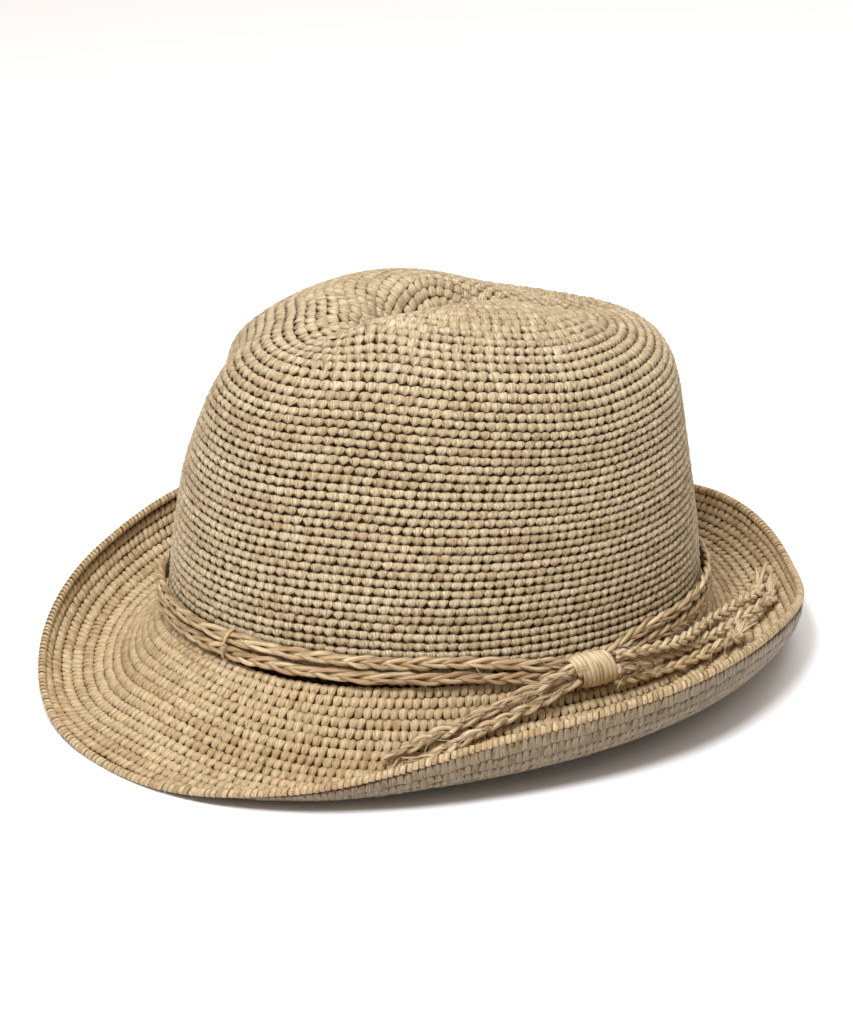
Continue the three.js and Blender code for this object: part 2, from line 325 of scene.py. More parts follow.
def addNode(tree, kind, settings=None, sockets=None):
    node = tree.nodes.new(kind)
    for name, value in (settings or {}).items():
        setattr(node, name, value)
    for name, value in (sockets or {}).items():
        target = node.inputs[name]
        if isinstance(value, bpy.types.NodeSocket):
            tree.links.new(value, target)
        else:
            target.default_value = value
    return node


def rampOf(node, stops):
    # colour ramp from (position, hex) stops
    ramp = node.color_ramp
    while len(ramp.elements) < len(stops):
        ramp.elements.new(0.5)
    for element, (position, code) in zip(ramp.elements, stops):
        element.position = position
        element.color = toLinear(code)
    return node


def meshObject(name, points, faces, uvs, floats):
    # points in millimetres; uvs has one pair for each face corner, floats one value for each point
    mesh = bpy.data.meshes.new(name)
    mesh.from_pydata((np.asarray(points) * mm).tolist(), [], faces)
    layer = mesh.uv_layers.new(name="fibre")
    layer.data.foreach_set("uv", np.asarray(uvs, np.float32).ravel())
    for key, values in floats.items():
        attribute = mesh.attributes.new(key, "FLOAT", "POINT")
        attribute.data.foreach_set("value", np.asarray(values, np.float32))
    mesh.shade_smooth()
    made = bpy.data.objects.new(name, mesh)
    bpy.context.scene.collection.objects.link(made)
    return made


def triangleCount(mesh):
    return sum(len(polygon.vertices) - 2 for polygon in mesh.polygons)


# Materials. Raffia is the dried skin of a palm leaf, split into ribbons: satin, fibrous along its
# length, pale straw to tan, and a new ribbon of another tint starts every few dozen stitches.

raffiaFinish = {
    "roughness": 0.46,
    "specular": 0.5,
    "sheen": 0.03,
    "ior": 1.45,
    "fibreRelief": 0.09,     # mm
    "alongFibre": 0.4,       # noise cells for each unit along a ribbon, so that the lines run long
    "blotchScale": 55.0,     # noise cells in a metre: patches 18 mm wide, as one ribbon's stitches
    "blotchShare": 0.35,
    "noiseShift": 91.0,      # gives every stitch and strand its own piece of the noise
    "lineRange": (0.36, 0.63),
    "darkLine": (0.3, 0.35, 0.42),     # a dark line loses more blue than red
    "paleLine": (0.13, 0.16, 0.25),    # and a pale one gains it
}


def raffiaMaterial(name, tints, paintedShadeTint, paintedShadeFrom, paintedShadeMix, fibresAcross, relief=1.0, streak=0.5):
    # fibresAcross counts the lines over a stitch or round a strand: 0.3 to 0.5 mm apart, coarser
    # than real fibres so that they show. Places between and under the stitches get painted shade: they
    # turn to the shade tint.
    material = bpy.data.materials.new(name)
    material.use_nodes = True
    tree = material.node_tree
    shader = tree.nodes["Principled BSDF"]
    shader.inputs["Roughness"].default_value = raffiaFinish["roughness"]
    shader.inputs["Sheen Weight"].default_value = raffiaFinish["sheen"]
    shader.inputs["IOR"].default_value = raffiaFinish["ior"]
    fibre = addNode(tree, "ShaderNodeUVMap", {"uv_map": "fibre"})
    tone = addNode(tree, "ShaderNodeAttribute", {"attribute_name": "tone"})
    # painted shade: an amount carried by the stitches and strands, high where shade falls between and
    # under them
    paintedShade = addNode(tree, "ShaderNodeAttribute", {"attribute_name": "paintedShade"})
    place = addNode(tree, "ShaderNodeTexCoord")
    stretched = addNode(tree, "ShaderNodeMapping", None, {
        "Vector": fibre.outputs["UV"],
        "Scale": (fibresAcross, raffiaFinish["alongFibre"], 1.0),
    })
    shifted = addNode(tree, "ShaderNodeMath", {"operation": "MULTIPLY"}, {
        0: tone.outputs["Fac"],
        1: raffiaFinish["noiseShift"],
    })
    lines = addNode(tree, "ShaderNodeTexNoise", {"noise_dimensions": "4D"}, {
        "Vector": stretched.outputs["Vector"],
        "W": shifted.outputs["Value"],
        "Scale": 1.0,
        "Detail": 5.0,
        "Roughness": 0.68,
    })
    blotches = addNode(tree, "ShaderNodeTexNoise", None, {
        "Vector": place.outputs["Object"],
        "Scale": raffiaFinish["blotchScale"],
        "Detail": 2.0,
    })
    mixed = addNode(tree, "ShaderNodeMath", {"operation": "MULTIPLY_ADD"}, {
        0: blotches.outputs["Fac"],
        1: raffiaFinish["blotchShare"],
        2: tone.outputs["Fac"],
    })
    centred = addNode(tree, "ShaderNodeMath", {"operation": "SUBTRACT", "use_clamp": True}, {
        0: mixed.outputs["Value"],
        1: raffiaFinish["blotchShare"] / 2,
    })
    tint = rampOf(addNode(tree, "ShaderNodeValToRGB", None, {"Fac": centred.outputs["Value"]}), tints)
    lowest, highest = raffiaFinish["lineRange"]
    contrast = addNode(tree, "ShaderNodeMapRange", {"data_type": "FLOAT_VECTOR"}, {
        6: lines.outputs["Fac"],
        7: (lowest,) * 3,
        8: (highest,) * 3,
        9: [1 - streak * part for part in raffiaFinish["darkLine"]],
        10: [1 + streak * part for part in raffiaFinish["paleLine"]],
    })
    streaked = addNode(tree, "ShaderNodeVectorMath", {"operation": "MULTIPLY"}, {
        0: tint.outputs["Color"],
        1: contrast.outputs["Vector"],
    })
    # painted shade: the colour goes towards the shade tint as the amount rises, and the gloss fades with
    # it
    darkness = addNode(tree, "ShaderNodeMapRange", None, {
        "Value": paintedShade.outputs["Fac"],
        "From Min": paintedShadeFrom,
        "To Max": paintedShadeMix,
    })
    shaded = addNode(tree, "ShaderNodeMix", {"data_type": "RGBA"}, {
        0: darkness.outputs["Result"],
        6: streaked.outputs["Vector"],
        7: toLinear(paintedShadeTint),
    })
    bump = addNode(tree, "ShaderNodeBump", None, {
        "Height": lines.outputs["Fac"],
        "Distance": raffiaFinish["fibreRelief"] * relief * mm,
        "Strength": 1.0,
    })
    gloss = addNode(tree, "ShaderNodeMapRange", None, {
        "Value": darkness.outputs["Result"],
        "To Min": raffiaFinish["specular"],
        "To Max": 0.0,
    })
    tree.links.new(gloss.outputs["Result"], shader.inputs["Specular IOR Level"])
    tree.links.new(shaded.outputs[2], shader.inputs["Base Color"])
    tree.links.new(bump.outputs["Normal"], shader.inputs["Normal"])
    return material


# in each material below, the tint for the hollows is painted shade between and under stitches and
# strands
# pale, slightly green raffia of the crown's outer face
crownRaffia = raffiaMaterial(
    "crochetedRaffiaCrown",
    ((0.0, "#b09878"), (0.15, "#b6a37e"), (0.5, "#bfae89"), (0.8, "#c8b894"), (1.0, "#c3aa8a")),
    paintedShadeTint="#351a07", paintedShadeFrom=0.0, paintedShadeMix=0.95, fibresAcross=12.0, relief=2.8, streak=2.1,
)
# a warmer, yellower straw for the brim
brimRaffia = raffiaMaterial(
    "crochetedRaffiaBrim",
    ((0.0, "#ae936a"), (0.25, "#b89f76"), (0.5, "#c2ac84"), (0.75, "#cdb891"), (1.0, "#c7a87c")),
    paintedShadeTint="#482809", paintedShadeFrom=0.0, paintedShadeMix=0.85, fibresAcross=10.0, relief=2.6, streak=1.7,
)
# the duller grey reverse of the work, also darker than the top as painted shade of the faces it covers,
# under the brim and inside the crown
underRaffia = raffiaMaterial(
    "crochetedRaffiaReverse",
    ((0.0, "#73644a"), (0.3, "#7e6f54"), (0.6, "#8a7c61"), (1.0, "#847357")),
    paintedShadeTint="#2c2014", paintedShadeFrom=0.3, paintedShadeMix=1.0, fibresAcross=8.0, relief=1.4, streak=1.8,
)
# wider ribbons, paler and more yellow, with painted shade where one passes under another
plaitRaffia = raffiaMaterial(
    "plaitedRaffia",
    ((0.0, "#ad906a"), (0.3, "#bfa57c"), (0.6, "#dac69f"), (1.0, "#cdb28a")),
    paintedShadeTint="#4a2a0c", paintedShadeFrom=0.0, paintedShadeMix=0.9, fibresAcross=11.0, relief=2.8, streak=1.9,
)
# the unlit depth of the work, which shows as dots between stitches
paintedShadeCoreMaterial = raffiaMaterial(
    "paintedShadeBetweenStitches",
    ((0.0, "#1e1004"), (0.5, "#251506"), (1.0, "#2c1a08")),
    paintedShadeTint="#180c03", paintedShadeFrom=0.0, paintedShadeMix=0.6, fibresAcross=9.0,
)
print("materials made")

# Stitches: one cushion of a few dozen faces, laid on points along the rows by Geometry Nodes


cushionShape = {
    "squareAcross": 2.4, "squareAlong": 2.2,     # 2 is round, more is squarer
    "footPower": 1.5, "archAtFoot": 0.4, "creaseWide": 0.3,
    "shadeOver": 0.3,                            # of the stitch's height, from unshaded to full painted shade
}


def cushion(name, spec):
    # a closed pillow in stitch units: x along the row, y across the rows, z outwards.
    # Its foot is narrow and dives under the next row, which leaves a dark hole at each lower corner.
    gridA, gridB = np.meshgrid(spec["across"], spec["along"])
    riseAcross = 1 - np.abs(gridA) ** cushionShape["squareAcross"]
    riseAlong = 1 - np.abs(gridB) ** cushionShape["squareAlong"]
    rise = (riseAcross * riseAlong) ** 0.5
    foot = (1 - gridB) / 2
    arch = 1 - spec["arch"] * gridA ** 2 * (1 - (1 - cushionShape["archAtFoot"]) * foot)
    taper = 1 - spec["taper"] * foot ** cushionShape["footPower"]
    x = gridA * 0.5 * spec["fill"] * taper + spec["slant"] * gridB / 2
    y = gridB * 0.5 * spec["overlap"] * arch + spec["peak"] * gridA * (1 - foot)
    offCrease = (gridA - spec["creaseAt"]) / cushionShape["creaseWide"]
    z = rise * (1 - spec["crease"] * np.exp(-offCrease ** 2)) - spec["dive"] * foot ** 2
    z[rise <= 1e-6] = -spec["sink"]
    columns = len(spec["across"])
    rows = len(spec["along"])
    points = np.stack([x, y, z], -1).reshape(-1, 3)
    faces = []
    for i in range(rows - 1):
        for j in range(columns - 1):
            k = i * columns + j
            faces.append((k, k + 1, k + columns + 1, k + columns))
    ring = list(range(columns))
    ring += [i * columns + columns - 1 for i in range(1, rows)]
    ring += [(rows - 1) * columns + j for j in range(columns - 2, -1, -1)]
    ring += [i * columns for i in range(rows - 2, 0, -1)]
    faces.append(tuple(reversed(ring)))
    u = ((gridA + 1) / 2 + spec["bend"] * gridB ** 2).ravel()
    v = ((gridB + 1) / 2 * spec["height"]).ravel()
    uvs = [(u[k], v[k]) for face in faces for k in face]
    # painted shade: the stitch darkens below a set height, where shade falls under the next row and
    # between stitches
    paintedShade = np.clip((spec["paintedShadeBelow"] - z.ravel()) / cushionShape["shadeOver"], 0, 1)
    made = meshObject(name, points / mm, faces, uvs, {"paintedShade": paintedShade})
    made.data.polygons[-1].use_smooth = False
    return made


def stitchTree():
    tree = bpy.data.node_groups.new("stitchesOnRows", "GeometryNodeTree")
    inputs = {
        "Rows": "Geometry", "Stitches": "Collection", "Turn wobble": "Float", "Size wobble": "Float",
        "Depth wobble": "Float", "Seed": "Int", "Material": "Material",
    }
    for name, kind in inputs.items():
        tree.interface.new_socket(name=name, in_out="INPUT", socket_type="NodeSocket" + kind)
    tree.interface.new_socket(name="Stitches", in_out="OUTPUT", socket_type="NodeSocketGeometry")
    given = addNode(tree, "NodeGroupInput").outputs
    kinds = addNode(tree, "GeometryNodeCollectionInfo", None, {
        "Collection": given["Stitches"],
        "Separate Children": True,
        "Reset Children": True,
    })
    named = "GeometryNodeInputNamedAttribute"
    turn = addNode(tree, named, {"data_type": "QUATERNION"}, {"Name": "turn"})
    size = addNode(tree, named, {"data_type": "FLOAT_VECTOR"}, {"Name": "size"})
    less = addNode(tree, "ShaderNodeMath", {"operation": "MULTIPLY"}, {
        0: given["Turn wobble"],
        1: -1.0,
    })
    wobble = addNode(tree, "FunctionNodeRandomValue", {"data_type": "FLOAT_VECTOR"}, {
        "Min": less.outputs["Value"],
        "Max": given["Turn wobble"],
        "Seed": given["Seed"],
    })
    wobbleTurn = addNode(tree, "FunctionNodeEulerToRotation", None, {0: wobble.outputs["Value"]})
    turned = addNode(tree, "FunctionNodeRotateRotation", {"rotation_space": "LOCAL"}, {
        "Rotation": turn.outputs["Attribute"],
        "Rotate By": wobbleTurn.outputs["Rotation"],
    })
    smallest = addNode(tree, "ShaderNodeMath", {"operation": "SUBTRACT"}, {
        0: 1.0,
        1: given["Size wobble"],
    })
    largest = addNode(tree, "ShaderNodeMath", {"operation": "ADD"}, {
        0: 1.0,
        1: given["Size wobble"],
    })
    # seeds of their own, so that size and kind don't follow the turn
    sizeSeed = addNode(tree, "ShaderNodeMath", {"operation": "ADD"}, {0: given["Seed"], 1: 17.0})
    kindSeed = addNode(tree, "ShaderNodeMath", {"operation": "ADD"}, {0: given["Seed"], 1: 41.0})
    grow = addNode(tree, "FunctionNodeRandomValue", {"data_type": "FLOAT_VECTOR"}, {
        "Min": smallest.outputs["Value"],
        "Max": largest.outputs["Value"],
        "Seed": sizeSeed.outputs["Value"],
    })
    scale = addNode(tree, "ShaderNodeVectorMath", {"operation": "MULTIPLY"}, {
        0: size.outputs["Attribute"],
        1: grow.outputs["Value"],
    })
    pick = addNode(tree, "FunctionNodeRandomValue", {"data_type": "INT"}, {
        "Min": 0,
        "Max": 100,
        "Seed": kindSeed.outputs["Value"],
    })
    placing = addNode(tree, "GeometryNodeInstanceOnPoints", None, {
        "Points": given["Rows"],
        "Instance": kinds.outputs["Instances"],
        "Pick Instance": True,
        "Instance Index": pick.outputs[2],
        "Rotation": turned.outputs["Rotation"],
        "Scale": scale.outputs["Vector"],
    })
    deepest = addNode(tree, "ShaderNodeMath", {"operation": "MULTIPLY"}, {
        0: given["Depth wobble"],
        1: -1.0,
    })
    deep = addNode(tree, "FunctionNodeRandomValue", {"data_type": "FLOAT"}, {
        "Min": deepest.outputs["Value"],
        "Max": given["Depth wobble"],
        "Seed": given["Seed"],
    })
    shift = addNode(tree, "ShaderNodeCombineXYZ", None, {"Z": deep.outputs[1]})
    moved = addNode(tree, "GeometryNodeTranslateInstances", None, {
        "Instances": placing.outputs["Instances"],
        "Translation": shift.outputs["Vector"],
        "Local Space": True,
    })
    real = addNode(tree, "GeometryNodeRealizeInstances", None, {
        "Geometry": moved.outputs["Instances"],
    })
    finish = addNode(tree, "GeometryNodeSetMaterial", None, {
        "Geometry": real.outputs["Geometry"],
        "Material": given["Material"],
    })
    addNode(tree, "NodeGroupOutput", None, {0: finish.outputs["Geometry"]})
    return tree


stitchNodes = stitchTree()


def quaternions(x, y, z):
    # the turn that brings the axes to x, y and z, as w, x, y, z
    m = np.stack([x, y, z], -1)
    trace = m[:, 0, 0] + m[:, 1, 1] + m[:, 2, 2]
    w = np.sqrt(np.maximum(1 + trace, 0)) / 2
    qx = np.sqrt(np.maximum(1 + m[:, 0, 0] - m[:, 1, 1] - m[:, 2, 2], 0)) / 2
    qy = np.sqrt(np.maximum(1 - m[:, 0, 0] + m[:, 1, 1] - m[:, 2, 2], 0)) / 2
    qz = np.sqrt(np.maximum(1 - m[:, 0, 0] - m[:, 1, 1] + m[:, 2, 2], 0)) / 2
    qx = np.copysign(qx, m[:, 2, 1] - m[:, 1, 2])
    qy = np.copysign(qy, m[:, 0, 2] - m[:, 2, 0])
    qz = np.copysign(qz, m[:, 1, 0] - m[:, 0, 1])
    return np.stack([w, qx, qy, qz], -1)


# how far hand work strays, in parts of a row or of a stitch
handWork = {
    "waves": (3, 5, 8),      # slow waves round a row
    "waveSize": 0.5, "waveStart": 6.28, "waveRoll": 0.1,
    "startWobble": 0.25, "alongWobble": 0.04, "acrossWobble": 0.018,
    "changeOver": 0.12,      # of the way to the tip, over which stitch size or relief changes
    "ribbonTint": 0.55, "stitchTint": 0.45,
    "fewest": 6,             # stitches in a ring
}


def layRows(table, normals, spec, seed):
    # one point for each stitch, in rings of equal steps along every meridian
    rng = np.random.default_rng(seed)
    turnStep = 0.01          # radians, to find the way along a row
    fine = np.linspace(spec["from"], spec["to"], 400)
    past = np.clip((fine - spec["growFrom"]) / handWork["changeOver"], 0, 1)
    tall = 1 + (spec["grow"] - 1) * past * past * (3 - 2 * past)
    passed = runningSum(1 / tall[1:])
    fractions = np.interp(np.linspace(0, passed[-1], spec["rows"] + 1), passed, fine)
    # each row follows the one before
    waves = []
    for k in handWork["waves"]:
        size = rng.normal(0, handWork["waveSize"] / k)
        start = rng.uniform(0, handWork["waveStart"])
        waves.append((k, size, start, rng.normal(0, handWork["waveRoll"])))
    laid = []
    ribbon = rng.random()
    for i in range(spec["rows"]):
        middle = (fractions[i] + fractions[i + 1]) / 2
        ring = sample(table, np.full(len(tableAngles), middle), tableAngles)
        lengths = arcsAround(ring)
        count = int(round(lengths[-1] / spec["width"]))
        count = max(handWork["fewest"], min(spec["most"], count))
        phase = spec["drift"] * i + rng.uniform(-handWork["startWobble"], handWork["startWobble"])
        wanted = ((np.arange(count) + phase) / count % 1) * lengths[-1]
        wanted = wanted + rng.normal(0, handWork["alongWobble"], count) * lengths[-1] / count
        angles = np.interp(wanted % lengths[-1], lengths, closedAngles)
        wave = sum(size * np.cos(k * angles + start + i * roll) for k, size, start, roll in waves)
        wave = wave + rng.normal(0, handWork["acrossWobble"], count)
        at = np.full(count, middle) + wave * (fractions[1] - fractions[0])
        p = sample(table, at, angles)
        n = unit(sample(normals, at, angles))
        ahead = sample(table, at, angles + turnStep) - sample(table, at, angles - turnStep)
        along = square(ahead, n)
        low = sample(table, np.full(count, fractions[i]), angles)
        high = sample(table, np.full(count, fractions[i + 1]), angles)
        height = np.linalg.norm(high - low, axis=1)
        width = np.full(count, lengths[-1] / count)
        past = np.clip((middle - spec["topFrom"]) / handWork["changeOver"], 0, 1)
        relief = np.full(count, 1 - (1 - spec["topRelief"]) * past)
        # a ribbon lasts a few dozen stitches, then the next one has another tint
        tones = np.zeros(count)
        for k in range(count):
            if rng.random() < 1 / spec["ribbonStitches"]:
                ribbon = rng.random()
            tones[k] = ribbon
        tones = tones * handWork["ribbonTint"] + rng.random(count) * handWork["stitchTint"]
        tones = np.clip(tones, 0, 1)
        laid.append((p, n, along, width, height, tones, relief))
    return [np.concatenate(parts) for parts in zip(*laid)]


def stitchPiece(name, points, keep, spec, kinds, material, seed):
    # keep says which of the points become stitches of this piece
    p, n, along, width, height, tones, relief = [part[keep] for part in points]
    out = n * spec["side"]
    up = np.cross(n, along)
    x = np.cross(up, out)
    p = p + n * (spec["offset"] + spec["side"] * spec["depth"] * (1 - relief))[:, None]
    mesh = bpy.data.meshes.new(name)
    mesh.from_pydata((p * mm).tolist(), [], [])
    turn = mesh.attributes.new("turn", "QUATERNION", "POINT")
    turn.data.foreach_set("value", quaternions(x, up, out).astype(np.float32).ravel())
    size = mesh.attributes.new("size", "FLOAT_VECTOR", "POINT")
    sizes = np.stack([width, height, spec["depth"] * relief], -1) * mm
    size.data.foreach_set("vector", sizes.astype(np.float32).ravel())
    tone = mesh.attributes.new("tone", "FLOAT", "POINT")
    tone.data.foreach_set("value", tones.astype(np.float32))
    made = bpy.data.objects.new(name, mesh)
    bpy.context.scene.collection.objects.link(made)
    modifier = made.modifiers.new("stitches", "NODES")
    modifier.node_group = stitchNodes
    wanted = {
        "Stitches": kinds,
        "Turn wobble": math.radians(spec["turnWobble"]),
        "Size wobble": spec["sizeWobble"],
        "Depth wobble": spec["depthWobble"],
        "Seed": seed,
        "Material": material,
    }
    for item in stitchNodes.interface.items_tree:
        if item.item_type == "SOCKET" and item.in_out == "INPUT" and item.name in wanted:
            modifier[item.identifier] = wanted[item.name]
    depsgraph = bpy.context.evaluated_depsgraph_get()
    evaluated = made.evaluated_get(depsgraph)
    result = bpy.data.meshes.new_from_object(
        evaluated, preserve_all_data_layers=True, depsgraph=depsgraph
    )
    made.modifiers.clear()
    made.data = result
    result.name = name
    print(name, len(p), "stitches,", triangleCount(result), "triangles")
    return made


def kindsOf(name, specs):
    # the variants of one stitch, in a collection that isn't shown
    collection = bpy.data.collections.new(name)
    for k, spec in enumerate(specs):
        made = cushion(name + str(k), spec)
        bpy.context.scene.collection.objects.unlink(made)
        collection.objects.link(made)
    return collection


crownStitch = {
    "across": (-1, -0.78, -0.3, 0.3, 0.78, 1), "along": (-1, -0.7, 0, 0.7, 1),     # grid lines
    "height": 3.0,                       # mm of fibre along a stitch
    "fill": 1.5, "overlap": 1.28,        # how far it reaches into its neighbours and the next row
    "taper": 0.48, "arch": 0.54,         # how much its foot and its sides draw in
    "slant": 0.12, "peak": 0.06,         # how far the top leans to one side and rises there
    "crease": 0.0, "creaseAt": 0.0,      # a dent lengthwise, and where across the stitch
    "dive": 0.46, "sink": 0.35,          # how deep its foot and its edges go
    "bend": 0.16, "paintedShadeBelow": 0.46,     # of its fibres, and the height under which it is painted dark as shade
}
crownKinds = kindsOf("crownStitch", [
    crownStitch,
    {**crownStitch, "crease": 0.25, "creaseAt": 0.3, "slant": 0.14},
    {**crownStitch, "crease": 0.2, "creaseAt": -0.3, "peak": 0.12, "slant": -0.02},
    {**crownStitch, "taper": 0.64, "fill": 1.42, "arch": 0.66},
])
crownLay = {
    "rows": 53, "from": 0.0, "to": 0.999,                    # from the band to the tip
    "growFrom": 0.45, "grow": 1.38,                          # rows get taller over the shoulder
    "topFrom": 0.64, "topRelief": 0.6,                       # and flatter on the top
    "width": 3.8, "most": 154,                               # mm for each stitch, and most in a ring
    "drift": 0.13, "ribbonStitches": 24,
    "side": 1, "offset": -1.6, "depth": 1.7,                 # mm from the wall's outer face
    "turnWobble": 4.0, "sizeWobble": 0.06, "depthWobble": 0.00013,     # degrees, share, metres
}
# where the stitches of the closing row sit, in shares of the way to the tip
tipSpec = {
    "ahead": (0.92, 0.94, 0.96, 0.978, 0.993), "behind": (0.993, 0.978),
    "width": 3.5, "height": 5.2, "raised": 0.7,
}


def closingRow():
    # a few stitches along the bottom of the crease, where the rings close
    fractions = np.array(tipSpec["ahead"] + tipSpec["behind"])
    angles = np.repeat([0, math.pi], (len(tipSpec["ahead"]), len(tipSpec["behind"])))
    count = len(fractions)
    n = unit(sample(crownNormals, fractions, angles))
    p = sample(crownTable, fractions, angles) + n * tipSpec["raised"]
    along = np.tile(unit(p[-1] - p[0]), (count, 1))
    tones = np.random.default_rng(14).uniform(0.3, 0.8, count)
    size = (np.full(count, tipSpec[key]) for key in ("width", "height"))
    return p, n, along, *size, tones, np.full(count, crownLay["topRelief"])


crownRows = layRows(crownTable, crownNormals, crownLay, 11)
crownPoints = [np.concatenate(parts) for parts in zip(crownRows, closingRow())]
# the stitches on the top sit closer and take less painted shade low down
topStitch = {
    **crownStitch, "overlap": 1.34, "taper": 0.44, "arch": 0.46, "dive": 0.32, "paintedShadeBelow": 0.26,
}
topKinds = kindsOf("topStitch", [topStitch, {**topStitch, "slant": 0.2}, {**topStitch, "taper": 0.5}])
crownFront = crownPoints[0][:, 1] < np.median(crownPoints[0][:, 1])
# the closer stitches begin gradually, here and there among the open ones
topShare = (1 - crownPoints[6]) / (1 - crownLay["topRelief"])
crownTop = np.random.default_rng(13).random(len(topShare)) < topShare
crownParts = {
    "crown_stitches_front": (crownFront & ~crownTop, crownKinds, 3),
    "crown_stitches_rear": (~crownFront & ~crownTop, crownKinds, 4),
    "crown_stitches_top": (crownTop, topKinds, 9),
}
crownPieces = [
    stitchPiece(name, crownPoints, keep, crownLay, kinds, crownRaffia, seed)
    for name, (keep, kinds, seed) in crownParts.items()
]

everyStitch = slice(None)
insideStitch = {
    **crownStitch, "across": (-1, 0, 1), "along": (-1, 0, 1),
    "overlap": 1.5, "taper": 0.3, "arch": 0.2, "slant": 0.05, "peak": 0.0,
    "dive": 0.1, "sink": 0.6, "bend": 0.0, "paintedShadeBelow": 0.2,
}
insideKinds = kindsOf("insideStitch", [insideStitch, {**insideStitch, "slant": 0.15}])
insideLay = {**crownLay, "side": -1, "offset": -1.75, "depth": 0.65, "depthWobble": 0.00006}
insidePoints = layRows(crownTable, crownNormals, insideLay, 12)
insidePiece = stitchPiece(
    "crown_stitches_inside", insidePoints, everyStitch, insideLay, insideKinds, underRaffia, 5
)

brimStitch = {
    **crownStitch, "across": (-1, -0.7, 0, 0.7, 1), "along": (-1, -0.68, 0, 0.68, 1), "height": 3.4,
    "overlap": 1.42, "taper": 0.44, "arch": 0.55, "slant": 0.14, "peak": 0.05,
    "dive": 0.3, "bend": 0.14, "paintedShadeBelow": 0.34,
}
brimKinds = kindsOf("brimStitch", [
    brimStitch,
    {**brimStitch, "slant": 0.28, "taper": 0.52},
    {**brimStitch, "fill": 1.4, "arch": 0.65},
])
brimLay = {
    "rows": 15, "from": 0.0, "to": 1.0, "growFrom": 1.0, "grow": 1.0,
    "topFrom": 1.0, "topRelief": 1.0,
    "width": 3.0, "most": 400, "drift": 0.22, "ribbonStitches": 30,
    "side": 1, "offset": -1.4, "depth": 1.45,
    "turnWobble": 5.0, "sizeWobble": 0.08, "depthWobble": 0.00012,
}
brimPoints = layRows(brimTable, brimNormals, brimLay, 21)
brimFront = brimPoints[0][:, 1] < 0
brimPieces = [
    stitchPiece("brim_stitches_front", brimPoints, brimFront, brimLay, brimKinds, brimRaffia, 6),
    stitchPiece("brim_stitches_rear", brimPoints, ~brimFront, brimLay, brimKinds, brimRaffia, 7),
]

underStitch = {
    **brimStitch, "across": (-1, -0.55, 0.55, 1), "along": (-1, -0.55, 0.55, 1),
    "fill": 1.85, "overlap": 1.75, "taper": 0.5, "arch": 0.4, "slant": 0.12, "peak": 0.0,
    "dive": 0.15, "sink": 1.2, "bend": 0.0, "paintedShadeBelow": 0.0,
}
underKinds = kindsOf("underStitch", [underStitch, {**underStitch, "slant": 0.2, "taper": 0.64}])
underLay = {
    **brimLay, "side": -1, "offset": -1.95, "depth": 0.42, "width": 2.5,
    "sizeWobble": 0.09, "depthWobble": 0.00004,
}
underPoints = layRows(brimTable, brimNormals, underLay, 22)
underPiece = stitchPiece(
    "brim_stitches_under", underPoints, everyStitch, underLay, underKinds, underRaffia, 8
)
print("stitches made")

# The thin sheet behind the stitches, coloured near black as painted shade, which shows dark between them

coreSpec = {
    "depths": (-1.65, -1.95), "brimDepths": (-1.6, -1.95),     # mm from the wall's outer face
    "columns": 180, "brimColumns": 220,
    # its tone and its amount of painted shade
    "tint": 0.5, "paintedShade": 0.5, "fibreStretch": 0.3,
}


def shellPiece(name, table, normals, fractions, columns, depths, closeTop):
    angles = np.arange(columns) * fullTurn / columns
    outer, inner = [
        [
            sample(table, at, angles) + unit(sample(normals, at, angles)) * depth
            for at in (np.full(columns, fraction) for fraction in fractions)
        ]
        for depth in depths
    ]
    # along the inner face one way and back along the outer one; the brim's rings close into a loop
    rings = inner[::-1] + outer
    points = np.concatenate(rings)
    faces = []
    total = len(rings)
    for a in range(total - 1 if closeTop else total):
        b = (a + 1) % total
        for j in range(columns):
            k = (j + 1) % columns
            faces.append((a * columns + j, a * columns + k, b * columns + k, b * columns + j))
    if closeTop:
        faces.append(tuple(range(columns - 1, -1, -1)))
        faces.append(tuple((total - 1) * columns + j for j in range(columns)))
    uvs = [(points[k][0], points[k][2]) for face in faces for k in face]
    uvs = np.array(uvs) * coreSpec["fibreStretch"]
    made = meshObject(name, points, faces, uvs, {
        "tone": np.full(len(points), coreSpec["tint"]),
        "paintedShade": np.full(len(points), coreSpec["paintedShade"]),
    })
    made.data.materials.append(paintedShadeCoreMaterial)
    return made


crownShell = shellPiece(
    "crown_core", crownTable, crownNormals, np.linspace(0.001, 0.995, 60),
    coreSpec["columns"], coreSpec["depths"], True,
)
brimShell = shellPiece(
    "brim_core", brimTable, brimNormals, np.linspace(0.0, 1.0, 24),
    coreSpec["brimColumns"], coreSpec["brimDepths"], False,
)
print("cores made")

# Strands: flattened ribbons and twisted strands swept along paths

fibreStretch = 0.3           # of the fibre pattern for each mm along a strand


